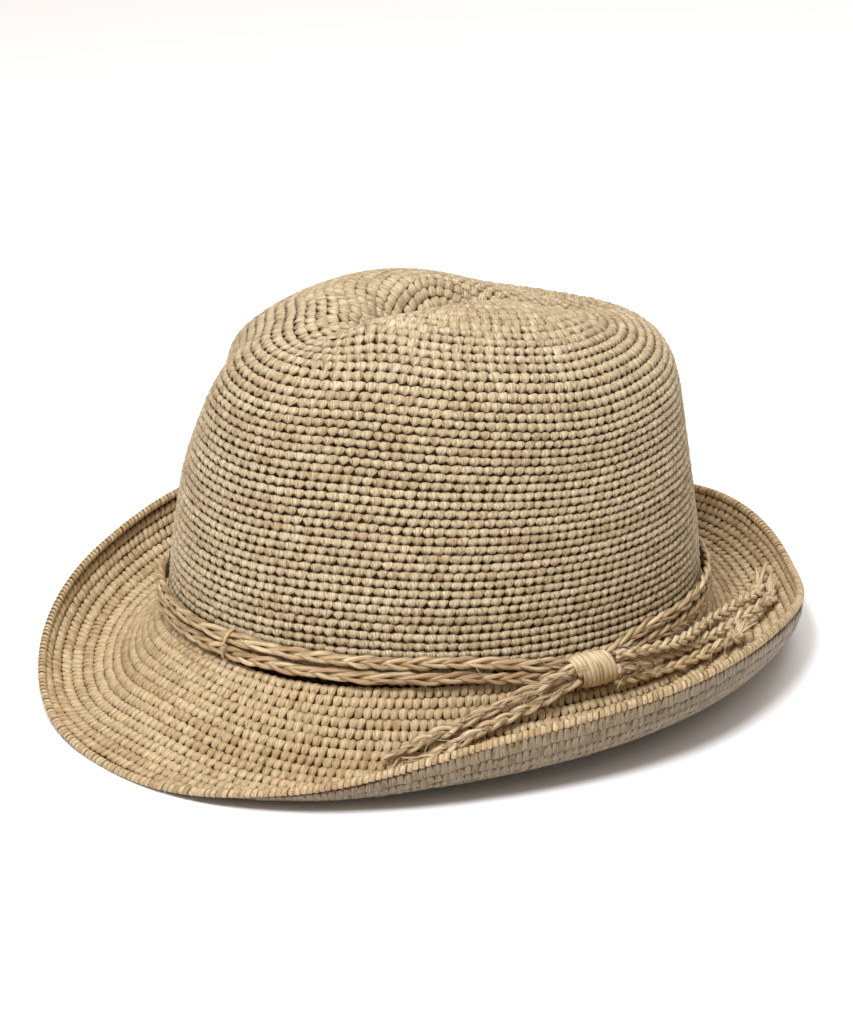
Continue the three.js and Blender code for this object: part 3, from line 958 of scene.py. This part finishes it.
def sweepPiece(name, strands, sides, material):
    # each strand has points, normals, half widths, half thicknesses, a tone and its painted shade
    points, faces, uvs, tones, paintedShades = [], [], [], [], []
    around = np.arange(sides) * fullTurn / sides
    for strand in strands:
        line = np.asarray(strand["points"], float)
        count = len(line)
        tangent = unit(np.gradient(line, axis=0))
        normal = square(np.asarray(strand["normals"], float), tangent)
        side = np.cross(tangent, normal)
        wide = np.broadcast_to(strand["wide"], (count,))
        thick = np.broadcast_to(strand["thick"], (count,))
        base = len(points)
        arcs = arcsAlong(line)
        rings = (
            line[:, None, :]
            + side[:, None, :] * (wide[:, None] * np.cos(around))[..., None]
            + normal[:, None, :] * (thick[:, None] * np.sin(around))[..., None]
        )
        points.extend(rings.reshape(-1, 3).tolist())
        for i in range(count - 1):
            for j in range(sides):
                k = (j + 1) % sides
                a, b = base + i * sides, base + (i + 1) * sides
                faces.append((a + k, a + j, b + j, b + k))
                u0, u1 = j / sides, (j + 1) / sides
                v0, v1 = arcs[i] * fibreStretch, arcs[i + 1] * fibreStretch
                uvs += [(u1, v0), (u0, v0), (u0, v1), (u1, v1)]
        faces.append(tuple(base + j for j in range(sides)))
        uvs += [(j / sides, arcs[0]) for j in range(sides)]
        end = base + (count - 1) * sides
        faces.append(tuple(end + j for j in range(sides - 1, -1, -1)))
        uvs += [(j / sides, arcs[-1]) for j in range(sides - 1, -1, -1)]
        tones.extend([strand["tone"]] * (count * sides))
        paintedShade = np.broadcast_to(strand.get("paintedShade", 0.0), (count,))
        paintedShades.extend(np.repeat(paintedShade, sides).tolist())
    made = meshObject(name, points, faces, uvs, {"tone": tones, "paintedShade": paintedShades})
    made.data.materials.append(material)
    print(name, len(strands), "strands,", triangleCount(made.data), "triangles")
    return made


# how loose and uneven the hand plaiting is
looseSpec = {
    "stepsPerTurn": 24,
    "turnWander": 0.14, "turnWave": 17,          # turns, and mm over which they wander
    "spreadWander": 0.26, "spreadWave": 9,
    "lumps": 0.1, "lumpRate": 0.9, "rough": 0.02,
    "tilt": 0.5,                                 # a ribbon leans outwards at the plait's edges
    "paintedShadeFrom": 0.2, "paintedShadeMost": 0.7,        # painted shade where it passes under another
}


def plait(points, normals, spec, rng):
    # strands that cross over each other
    given = arcsAlong(points)
    steps = max(1, int(round(given[-1] * looseSpec["stepsPerTurn"] / spec["pitch"])))
    arcs = np.linspace(0, given[-1], steps + 1)
    line = columnsAt(arcs, given, points)
    normal = unit(columnsAt(arcs, given, normals))
    tangent = unit(np.gradient(line, axis=0))
    normal = square(normal, tangent)
    side = np.cross(tangent, normal)
    start = rng.uniform(0, fullTurn)
    wander = np.sin(arcs / looseSpec["turnWave"] + rng.uniform(0, fullTurn))
    turns = arcs / spec["pitch"] + looseSpec["turnWander"] * wander
    shrink = np.interp(arcs, [0, arcs[-1] - spec["taperLength"], arcs[-1]], [1, 1, spec["taperTo"]])
    strands = []
    for k in range(spec["strands"]):
        angle = fullTurn * (turns + k / spec["strands"]) + start
        wander = np.sin(arcs / looseSpec["spreadWave"] + rng.uniform(0, fullTurn))
        lateral = spec["spread"] * np.sin(angle) * shrink * (1 + looseSpec["spreadWander"] * wander)
        depth = spec["lift"] * np.sin(2 * angle) * shrink
        lump = 1 + looseSpec["lumps"] * np.sin(arcs * looseSpec["lumpRate"] + rng.uniform(0, fullTurn))
        lump = lump + rng.normal(0, looseSpec["rough"], len(arcs))
        # painted shade where the strand dips under the others
        under = np.clip(-np.sin(2 * angle) - looseSpec["paintedShadeFrom"], 0, 1)
        strands.append({
            "points": line + side * lateral[:, None] + normal * depth[:, None],
            "normals": normal + side * (looseSpec["tilt"] * np.sin(angle))[:, None],
            "wide": spec["strandWide"] / 2 * lump * shrink,
            "thick": spec["strandThick"] / 2 * lump * shrink,
            "tone": rng.uniform(*spec["tones"]),
            "paintedShade": under * looseSpec["paintedShadeMost"],
        })
    return strands


def catmullRom(points, steps):
    # centripetal, as the solids' routes
    points = np.asarray(points, float)
    ends = np.vstack([2 * points[0] - points[1], points, 2 * points[-1] - points[-2]])
    out = []
    for i in range(1, len(ends) - 2):
        p0, p1, p2, p3 = ends[i - 1:i + 3]
        d0, d1, d2 = [np.linalg.norm(b - a) ** 0.5 for a, b in ((p0, p1), (p1, p2), (p2, p3))]
        t1 = ((p1 - p0) / d0 - (p2 - p0) / (d0 + d1) + (p2 - p1) / d1) * d1
        t2 = ((p2 - p1) / d1 - (p3 - p1) / (d1 + d2) + (p3 - p2) / d2) * d1
        for s in np.arange(steps) / steps:
            out.append(
                (1 + 2 * s) * (1 - s) ** 2 * p1 + s * (1 - s) ** 2 * t1
                + s * s * (3 - 2 * s) * p2 + s * s * (s - 1) * t2
            )
    out.append(points[-1])
    return np.array(out)


# the band's plaits follow the solids' tubes round the foot of the crown
bandSpec = {
    "diameter": 4.6, "slack": 0.25, "pullOut": 1.0,
    "sunk": 0.6,             # the open plait lies closer to the wall than a full tube
    "tilt": 0.12, "sides": 7,
    "strands": 4, "pitch": 33.0, "spread": 1.45, "lift": 0.7, "strandWide": 1.75, "strandThick": 1.5,
    "taperLength": 1.0, "taperTo": 1.0, "tones": (0.0, 0.5),
}
# height over the band line, then the same at the wrap
bandLevels = {"band_plait_upper": (9.2, 4.3), "band_plait_lower": (3.8, 0.1)}
wrapSpec = {
    "angle": 84.0, "length": 18.0, "tall": 12.6, "thick": 10.2,
    "height": 2.2, "reach": 6.1,
    "pullFront": 30.0, "pullRear": 20.0,         # degrees over which the plaits draw together
    "turns": 10, "stepsPerTurn": 28, "sides": 12,
    "ribbonWide": 1.95, "ribbonThick": 1.35, "slant": 2.1, "wander": 0.34,
    "tuck": 3.0,                                 # how far the plaits go under the ribbon
    "endsIn": 0.16, "widthWander": 0.08,
    "coreInset": 1.1, "coreShorter": 1.2, "coreEndsIn": 0.25,
}


def bandPath(levels, count=700):
    height, atWrap = levels
    halfLength = wrapSpec["length"] / 2 + hatShape["gap"] + bandSpec["slack"] - wrapSpec["tuck"]
    half = halfLength / hatShape["front"]
    start = math.radians(wrapSpec["angle"]) + half
    t = start + np.linspace(0, 1, count) * (fullTurn - 2 * half)
    past = (np.degrees(t) - wrapSpec["angle"] + 540) % 360 - 180
    reach = np.where(past < 0, wrapSpec["pullFront"], wrapSpec["pullRear"])
    pull = np.where(np.abs(past) < reach, np.cos(past / reach * math.pi / 2) ** 2, 0)
    rise = height + (atWrap - height) * pull
    arcs = np.interp(t % fullTurn, closedAngles, np.append(crownArcs, crownArcs[0]))
    wallAt = sample(levelTable, np.maximum(rise, 0) / arcs, t)[:, :2]
    out = openingNormal(t)
    standOff = hatShape["gap"] + bandSpec["diameter"] / 2 + bandSpec["slack"] - bandSpec["sunk"]
    flat = wallAt + out * (standOff + pull * bandSpec["pullOut"])[:, None]
    points = placed(np.column_stack([flat, rise]))
    normals = leaned(np.column_stack([out, np.full(count, bandSpec["tilt"])]))
    return points, unit(normals)


bandPieces = []
for k, (name, levels) in enumerate(bandLevels.items()):
    rng = np.random.default_rng(31 + k)
    strands = plait(*bandPath(levels), bandSpec, rng)
    bandPieces.append(sweepPiece(name, strands, bandSpec["sides"], plaitRaffia))

tailSpec = {
    "diameter": 4.2, "sides": 8, "facing": (0.75, 0.65),     # outwards and up
    "strands": 3, "pitch": 23.0, "spread": 1.35, "lift": 0.62, "strandWide": 1.85, "strandThick": 1.6,
    "taperLength": 8.0, "taperTo": 0.75, "tones": (0.3, 0.7),
}
# angle from the front, reach from the head opening, height above it
tailRoutes = {
    "tail_front_upper": (
        (78.7, 8.3, 4.4), (72.8, 8.2, 0.7), (67.0, 8.0, -3.1), (61.4, 8.8, -6.7),
        (56.0, 10.5, -10.1), (51.1, 13.1, -13.3), (46.5, 16.4, -16.4),
    ),
    "tail_front_lower": (
        (78.7, 8.5, -0.4), (73.4, 8.6, -4.0), (68.2, 9.4, -7.0), (63.3, 11.0, -9.9),
        (58.8, 13.2, -12.5), (54.7, 15.9, -15.0), (50.9, 19.1, -17.3),
    ),
    "tail_rear_upper": (
        (89.3, 8.6, 6.2), (97.9, 7.5, 3.7), (106.9, 6.8, 1.3), (116.5, 5.3, -0.6),
        (126.7, 5.0, -2.7), (136.8, 8.5, -5.7), (146.1, 15.1, -8.3), (153.9, 24.3, -10.7),
    ),
    "tail_rear_lower": (
        (89.3, 8.9, 1.5), (98.0, 6.7, -0.8), (107.0, 5.4, -3.1), (116.2, 6.3, -5.0),
        (125.4, 8.5, -6.2), (134.2, 12.5, -7.5), (142.2, 18.7, -8.6), (149.0, 26.8, -9.5),
    ),
    "tail_rear_short": (
        (89.3, 7.9, -3.1), (97.0, 7.7, -5.2), (104.8, 8.4, -6.2), (112.6, 9.4, -7.1),
        (120.3, 11.1, -8.1), (128.0, 13.9, -9.2),
    ),
}


def tailPath(rows):
    rows = np.array(rows)
    knots = brimPoint(np.radians(rows[:, 0]), rows[:, 1], rows[:, 2])
    line = catmullRom(knots, 12)
    along = np.linspace(0, 1, len(line))
    angle = np.radians(np.interp(along, np.linspace(0, 1, len(rows)), rows[:, 0]))
    out = np.column_stack([openingNormal(angle), np.zeros(len(line))])
    outwards, upwards = tailSpec["facing"]
    return line, unit(out * outwards + np.array([0, 0, upwards]))


tailPieces = {}
for k, (name, rows) in enumerate(tailRoutes.items()):
    rng = np.random.default_rng(51 + k)
    line, normals = tailPath(rows)
    lead = unit(line[1] - line[0]) * -wrapSpec["tuck"]
    full = np.vstack([line[0] + lead, line])
    fullNormals = np.vstack([normals[0], normals])
    strands = plait(full, fullNormals, tailSpec, rng)
    piece = sweepPiece(name.replace("tail", "plait"), strands, tailSpec["sides"], plaitRaffia)
    tailPieces[name] = (piece, full, fullNormals)
print("plaits made")

# The wrap: a ribbon wound ten times round the band and the tails, over a solid core


def wrapFrame():
    t = np.array([math.radians(wrapSpec["angle"])])
    out = openingNormal(t)[0]
    centre = brimPoint(t, np.array([wrapSpec["reach"]]), np.array([wrapSpec["height"]]))[0]
    return (
        centre,
        leaned([out[0], out[1], 0]),
        leaned([-out[1], out[0], 0]),
        leaned([0, 0, 1]),
    )


def makeWrap():
    rng = np.random.default_rng(71)
    centre, out, along, up = wrapFrame()
    turns = wrapSpec["turns"]
    phi = np.linspace(0, fullTurn * turns, turns * wrapSpec["stepsPerTurn"] + 1)
    share = phi / phi[-1]
    run = wrapSpec["length"] - wrapSpec["ribbonWide"]
    bulge = 1 - wrapSpec["endsIn"] * np.abs(2 * share - 1) ** 3
    wanders = rng.normal(0, wrapSpec["wander"], turns + 1)
    wander = np.interp(phi, np.arange(turns + 1) * fullTurn, wanders)
    shift = (share - 0.5) * run - wrapSpec["slant"] * np.sin(phi) + wander
    thick = (wrapSpec["thick"] - wrapSpec["ribbonThick"]) / 2 * bulge
    tall = (wrapSpec["tall"] - wrapSpec["ribbonThick"]) / 2 * bulge
    radial = out * np.cos(phi)[:, None] + up * np.sin(phi)[:, None]
    ring = out * (thick * np.cos(phi))[:, None] + up * (tall * np.sin(phi))[:, None]
    ribbon = {
        "points": centre + along * shift[:, None] + ring,
        "normals": radial,
        "wide": wrapSpec["ribbonWide"] / 2 * (1 + wrapSpec["widthWander"] * np.sin(phi * 0.7)),
        "thick": wrapSpec["ribbonThick"] / 2,
        "tone": 0.6,
    }
    s = np.linspace(-1, 1, 12)
    narrow = 1 - wrapSpec["coreEndsIn"] * s ** 4
    core = {
        "points": centre + along * (s * (wrapSpec["length"] / 2 - wrapSpec["coreShorter"]))[:, None],
        "normals": np.tile(out, (len(s), 1)),
        "wide": (wrapSpec["tall"] / 2 - wrapSpec["coreInset"]) * narrow,
        "thick": (wrapSpec["thick"] / 2 - wrapSpec["coreInset"]) * narrow,
        "tone": 0.3,
        # painted shade on the core, which shows dark between the ribbon's turns
        "paintedShade": 0.4,
    }
    return sweepPiece("wrap_turns", [ribbon, core], wrapSpec["sides"], plaitRaffia)


wrapPiece = makeWrap()
print("wrap made")

# The rim: the last row turned over the edge, one slanting turn for each stitch

rimSpec = {
    "pitch": 2.1, "sides": 12, "wide": 1.08, "radius": 1.46, "slant": 0.5, "wobble": 0.07,
    # across one turn of raffia: place, swelling, then how much painted shade it takes towards the next
    # turn
    "stations": (
        (-1.0, 0.84, 1.0), (-0.76, 0.97, 0.1), (0.0, 1.03, 0.0), (0.76, 0.97, 0.1), (1.0, 0.84, 1.0),
    ),
}


def rimPlaces(rng):
    # centre, way out and way up of each turn
    reach, height, slope = brimRim
    forward = hatShape["gap"] + hatShape["edgeDiameter"] / 2
    down = hatShape["wall"] / 2
    centreReach = reach + np.cos(slope) * forward + np.sin(slope) * down
    centreHeight = height + np.sin(slope) * forward - np.cos(slope) * down
    line = brimPoint(tableAngles, centreReach, centreHeight)
    lengths = arcsAround(line)
    count = int(round(lengths[-1] / rimSpec["pitch"]))
    wobble = rng.normal(0, rimSpec["wobble"], count)
    wanted = (np.arange(count) + wobble) / count * lengths[-1] % lengths[-1]
    angles = np.interp(wanted, lengths, closedAngles)
    p, out, up = [
        columnsAt(angles, closedAngles, np.vstack([values, values[:1]]))
        for values in (line, unit(brimTable[-1] - brimTable[-2]), unit(brimNormals[-1]))
    ]
    return p, unit(out), unit(up)


def makeRim():
    rng = np.random.default_rng(81)
    p, out, up = rimPlaces(rng)
    along = unit(np.cross(up, out))
    sides = rimSpec["sides"]
    stations = rimSpec["stations"]
    phi = np.arange(sides) * fullTurn / sides
    points, faces, uvs, tones, paintedShades = [], [], [], [], []
    for k in range(len(p)):
        base = len(points)
        tone = rng.random()
        for shift, grow, paintedShade in stations:
            radius = rimSpec["radius"] * grow
            offset = shift * rimSpec["wide"] + rimSpec["slant"] * np.sin(phi)
            ring = (
                p[k] + along[k] * offset[:, None]
                + (out[k] * np.cos(phi)[:, None] + up[k] * np.sin(phi)[:, None]) * radius
            )
            points.extend(ring.tolist())
            tones.extend([tone] * sides)
            paintedShades.extend([paintedShade] * sides)
        for i in range(len(stations) - 1):
            a, b = base + i * sides, base + (i + 1) * sides
            u0, u1 = (edge / (len(stations) - 1) for edge in (i, i + 1))
            for j in range(sides):
                n = (j + 1) % sides
                faces.append((a + j, a + n, b + n, b + j))
                uvs += [(u0, j), (u0, j + 1), (u1, j + 1), (u1, j)]
        faces.append(tuple(base + j for j in range(sides - 1, -1, -1)))
        uvs += [(0, j) for j in range(sides)]
        end = base + (len(stations) - 1) * sides
        faces.append(tuple(end + j for j in range(sides)))
        uvs += [(1, j) for j in range(sides)]
    made = meshObject("rim_stitches", points, faces, uvs, {"tone": tones, "paintedShade": paintedShades})
    made.data.materials.append(brimRaffia)
    print("rim_stitches", len(p), "stitches")
    return made


rimPiece = makeRim()
print("rim made")

# Knots and frayed ends

knotSpec = {"tubeWide": 1.2, "size": 2.3, "past": 1.2, "points": 61}
# start past the plait's end, count, longest and width in mm, and how much the fibres lift off
fraySpec = {
    "rear": {"past": 1.5, "count": 22, "reach": 10.0, "wide": 0.85, "lift": 0.3},
    "front": {"past": -2.5, "count": 10, "reach": 12.0, "wide": 0.75, "lift": 0.05},
    "lift": 0.15, "sides": 6, "points": 9,
    "shortest": 0.45, "widths": (0.6, 1.3), "flatness": 0.35, "tones": (0.35, 0.8),
    "spread": 0.35, "bend": 0.25, "fan": 0.6, "riseSpread": 0.22, "droop": 0.12,
    "thinsTo": 0.25, "flattensTo": 0.4,
}


def trefoil(centre, axes, size, rng):
    # the simplest knot there is, a little flattened
    s = np.linspace(0, fullTurn, knotSpec["points"]) + rng.uniform(0, 6)
    flat = np.stack([
        np.sin(s) + 2 * np.sin(2 * s),
        np.cos(s) - 2 * np.cos(2 * s),
        -1.3 * np.sin(3 * s),
    ], -1) * size / 3
    return centre + flat @ axes


def frayStrands(end, direction, side, up, spec, rng):
    start = end + direction * spec["past"]
    s = np.linspace(0, 1, fraySpec["points"])[:, None]
    strands = []
    for _ in range(spec["count"]):
        spread = rng.normal(0, fraySpec["spread"])
        rise = rng.normal(spec["lift"], fraySpec["riseSpread"])
        length = spec["reach"] * rng.uniform(fraySpec["shortest"], 1.0)
        bend = rng.normal(0, fraySpec["bend"])
        aside = (spread * s + bend * s ** 2) * fraySpec["fan"]
        above = rise * s - fraySpec["droop"] * s ** 2
        width = spec["wide"] * rng.uniform(*fraySpec["widths"])
        strands.append({
            "points": start + (direction * s + side * aside + up * above) * length,
            "normals": np.tile(up + side * rng.normal(0, 0.5), (len(s), 1)),
            "wide": width * (1 - (1 - fraySpec["thinsTo"]) * s[:, 0] ** 2),
            "thick": width * fraySpec["flatness"] * (1 - (1 - fraySpec["flattensTo"]) * s[:, 0] ** 2),
            "tone": rng.uniform(*fraySpec["tones"]),
        })
    return strands


def brimUp(point):
    # the way out of the brim's upper face, at the place nearest to a point
    away = np.linalg.norm(brimTable - point, axis=-1)
    return brimNormals[np.unravel_index(np.argmin(away), away.shape)]


def makeEnds():
    made = {}
    for k, (name, (_, line, _)) in enumerate(tailPieces.items()):
        rng = np.random.default_rng(91 + k)
        end = line[-1]
        up = brimUp(end)
        direction = unit(square(end - line[-4], up) + up * fraySpec["lift"])
        side = unit(np.cross(direction, up))
        place = "rear" if "rear" in name else "front"
        strands = []
        if place == "rear":
            axes = np.stack([direction, side, up])
            knot = trefoil(end + direction * knotSpec["past"], axes, knotSpec["size"], rng)
            strands.append({
                "points": knot,
                "normals": np.tile(up, (len(knot), 1)),
                "wide": knotSpec["tubeWide"],
                "thick": knotSpec["tubeWide"] * 0.8,
                "tone": 0.5,
                # a little painted shade where the knot crosses itself
                "paintedShade": 0.1,
            })
        strands += frayStrands(end, direction, side, up, fraySpec[place], rng)
        made[name] = sweepPiece(name.replace("tail", "ends"), strands, fraySpec["sides"], plaitRaffia)
    return made


endPieces = makeEnds()
print("ends made")

# A thread round the band's two plaits, and loose fibres

straySpec = {
    "count": 170, "shortest": 3.0, "longest": 9.0, "wide": 0.17, "sides": 3, "points": 7,
    "from": 1.9,             # mm from the middle of a plait
    "rise": (0.1, 0.5), "droop": 0.35, "bend": 0.35, "tones": (0.4, 1.0),
}
tieSpec = {
    "share": 0.794,          # of the way round the band from the wrap
    "deep": 3.3, "past": 2.9, "wide": 0.5, "thick": 0.4, "lean": 1.2, "sides": 8,
}


def makeTie():
    (upperLine, outLine), (lowerLine, _) = [bandPath(levels) for levels in bandLevels.values()]
    k = int(tieSpec["share"] * len(upperLine))
    upper, lower, out = upperLine[k], lowerLine[k], outLine[k]
    up = unit(upper - lower)
    along = np.cross(up, out)
    tall = np.linalg.norm(upper - lower) / 2 + tieSpec["past"]
    phi = np.linspace(0, fullTurn, 33)[:, None]
    turn = out * np.cos(phi) * tieSpec["deep"] + up * np.sin(phi) * tall
    return sweepPiece("band_tie", [{
        "points": (upper + lower) / 2 + turn + along * np.sin(phi) * tieSpec["lean"],
        "normals": turn,
        "wide": tieSpec["wide"],
        "thick": tieSpec["thick"],
        "tone": 0.4,
    }], tieSpec["sides"], plaitRaffia)


def makeStrays():
    rng = np.random.default_rng(101)
    routes = [bandPath(levels) for levels in bandLevels.values()]
    routes += [(line, normals) for _, line, normals in tailPieces.values()]
    s = np.linspace(0, 1, straySpec["points"])[:, None]
    strands = []
    for _ in range(straySpec["count"]):
        points, normals = routes[rng.integers(len(routes))]
        k = rng.integers(2, len(points) - 2)
        direction = unit(points[k + 1] - points[k]) * rng.choice((-1, 1))
        up = normals[k]
        side = np.cross(direction, up)
        length = rng.uniform(straySpec["shortest"], straySpec["longest"])
        rise = rng.uniform(*straySpec["rise"]) * s - straySpec["droop"] * s ** 2
        bend = rng.normal(0, straySpec["bend"]) * s ** 2
        start = points[k] + up * straySpec["from"]
        strands.append({
            "points": start + (direction * s + up * rise + side * bend) * length,
            "normals": np.tile(up, (len(s), 1)),
            "wide": straySpec["wide"],
            "thick": straySpec["wide"] / 2,
            "tone": rng.uniform(*straySpec["tones"]),
        })
    return sweepPiece("stray_fibres", strands, straySpec["sides"], plaitRaffia)


tiePiece = makeTie()
strayPiece = makeStrays()
print("tie and loose fibres made")

# What each piece rides on and which solid it stands in for

for piece in (*crownPieces, insidePiece, crownShell):
    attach(piece, "root")
    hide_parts("crown")
for piece in (*brimPieces, underPiece, brimShell):
    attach(piece, "root")
    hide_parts("brim")
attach(rimPiece, "root")
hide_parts("brim_edge")
for piece, node in zip(bandPieces, ("band_cord_upper", "band_cord_lower")):
    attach(piece, "root")
    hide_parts(node)
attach(wrapPiece, "root")
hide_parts("knot_wrap")
for piece in (tiePiece, strayPiece):
    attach(piece, "root")
for name, (piece, line, _) in tailPieces.items():
    ends = endPieces[name]
    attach(ends, "root")
    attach(piece, "root")
    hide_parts(name)

# Floor, light and background

studio = {
    "floor": "#f6f6fa", "floorHalf": 6.0,        # metres
    "sky": 0.44, "skyTint": "#fff1de",
    "aim": (0, 0, 0.06),
    # azimuth, elevation, distance, width, watts
    "lights": {
        "key": (28, 54, 1.6, 0.45, 25.0),        # small enough to leave dark lines between the rows
        "fill": (85, 55, 1.8, 1.2, 3.5),
        "back": (200, 60, 1.7, 1.2, 12.0),
    },
}


def makeFloor():
    mesh = bpy.data.meshes.new("floor")
    half = studio["floorHalf"]
    corners = [(-half, -half, 0), (half, -half, 0), (half, half, 0), (-half, half, 0)]
    mesh.from_pydata(corners, [], [(0, 1, 2, 3)])
    floor = bpy.data.objects.new("floor", mesh)
    bpy.context.scene.collection.objects.link(floor)
    paper = bpy.data.materials.new("palePaper")
    paper.use_nodes = True
    shader = paper.node_tree.nodes["Principled BSDF"]
    shader.inputs["Base Color"].default_value = toLinear(studio["floor"])
    shader.inputs["Roughness"].default_value = 0.9
    shader.inputs["Specular IOR Level"].default_value = 0.1
    mesh.materials.append(paper)


def makeLight(name, azimuth, elevation, distance, size, power):
    data = bpy.data.lights.new(name, "AREA")
    data.shape = "DISK"
    data.size = size
    data.energy = power
    light = bpy.data.objects.new(name, data)
    bpy.context.scene.collection.objects.link(light)
    away = awayFrom(azimuth, elevation)
    light.location = Vector(studio["aim"]) + away * distance
    light.rotation_euler = away.to_track_quat("Z", "Y").to_euler()


def makeStudio():
    makeFloor()
    for name, values in studio["lights"].items():
        makeLight(name, *values)
    world = bpy.data.worlds.new("sky")
    bpy.context.scene.world = world
    world.use_nodes = True
    background = world.node_tree.nodes["Background"]
    background.inputs["Color"].default_value = toLinear(studio["skyTint"])
    background.inputs["Strength"].default_value = studio["sky"]
    bpy.context.scene.view_settings.view_transform = "Standard"


makeStudio()
print("studio made")

shown = [made.data for made in bpy.context.scene.objects if made.type == "MESH"]
print("triangles in all", sum(triangleCount(mesh) for mesh in shown))
